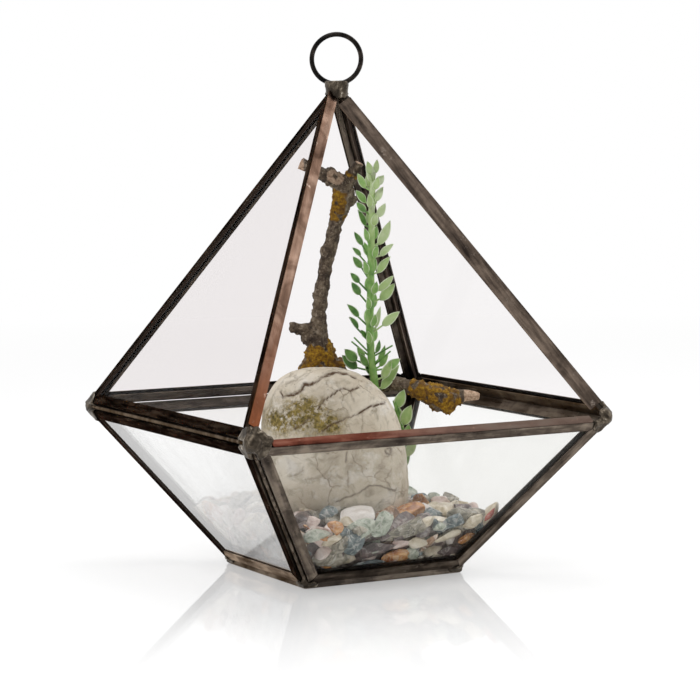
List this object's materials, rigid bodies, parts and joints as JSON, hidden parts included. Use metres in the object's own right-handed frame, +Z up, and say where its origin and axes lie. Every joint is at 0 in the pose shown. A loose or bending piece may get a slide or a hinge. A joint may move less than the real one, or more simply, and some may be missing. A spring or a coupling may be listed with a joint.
{
  "type": "glass plant terrarium",
  "caption": "Faceted glass lantern terrarium with metal-came edges, one open facet and a hanging ring, planted with gravel, a stone, a lichen branch and a leafy sprig.",
  "frame": {"origin": "centre of the underside of the base came frame, on the surface that the terrarium stands on", "axes": "+Z up towards the hanging ring, -Y out through the open upper facet, +X to the right seen from the open facet"},
  "size_m": [0.1838, 0.1838, 0.2484],
  "materials": {
    "came": "dark bronze patina on folded U-section came, satin",
    "edge_strip": "reddish copper strip, patinated, satin",
    "solder": "uneven patinated solder, satin with bright glints",
    "hanging_ring": "near-black wire, satin",
    "pane": "clear, glossy",
    "gravel": "mixed polished chips: grey, cream, amber, mauve, slate",
    "stone": "off-white, matt, with brown cracks and a moss stain",
    "branch": "rough grey-brown bark with amber lichen",
    "sprig": "matt green, paler towards the tips"
  },
  "bodies": {
    "root": {"branch": "branch", "came_back_lower_belt": "came", "came_back_lower_foot": "came", "came_back_lower_left": "came", "came_back_lower_right": "came", "came_back_upper_belt": "came", "came_back_upper_left": "came", "came_back_upper_right": "came", "came_base_back": "came", "came_base_front": "came", "came_base_left": "came", "came_base_right": "came", "came_front_lower_belt": "came", "came_front_lower_foot": "came", "came_front_lower_left": "came", "came_front_lower_right": "came", "came_left_lower_belt": "came", "came_left_lower_foot": "came", "came_left_lower_left": "came", "came_left_lower_right": "came", "came_left_upper_belt": "came", "came_left_upper_left": "came", "came_left_upper_right": "came", "came_right_lower_belt": "came", "came_right_lower_foot": "came", "came_right_lower_left": "came", "came_right_lower_right": "came", "came_right_upper_belt": "came", "came_right_upper_left": "came", "came_right_upper_right": "came", "edge_strip_belt": "edge_strip", "edge_strip_left": "edge_strip", "edge_strip_right": "edge_strip", "gravel": "gravel", "hanging_ring": "hanging_ring", "pane_back_lower": "pane", "pane_back_upper": "pane", "pane_base": "pane", "pane_front_lower": "pane", "pane_left_lower": "pane", "pane_left_upper": "pane", "pane_right_lower": "pane", "pane_right_upper": "pane", "solder_apex": "solder", "solder_belt_back_left": "solder", "solder_belt_back_right": "solder", "solder_belt_front_left": "solder", "solder_belt_front_right": "solder", "solder_foot_back_left": "solder", "solder_foot_back_right": "solder", "solder_foot_front_left": "solder", "solder_foot_front_right": "solder", "sprig": "sprig", "stone": "stone"}
  },
  "joints": []
}
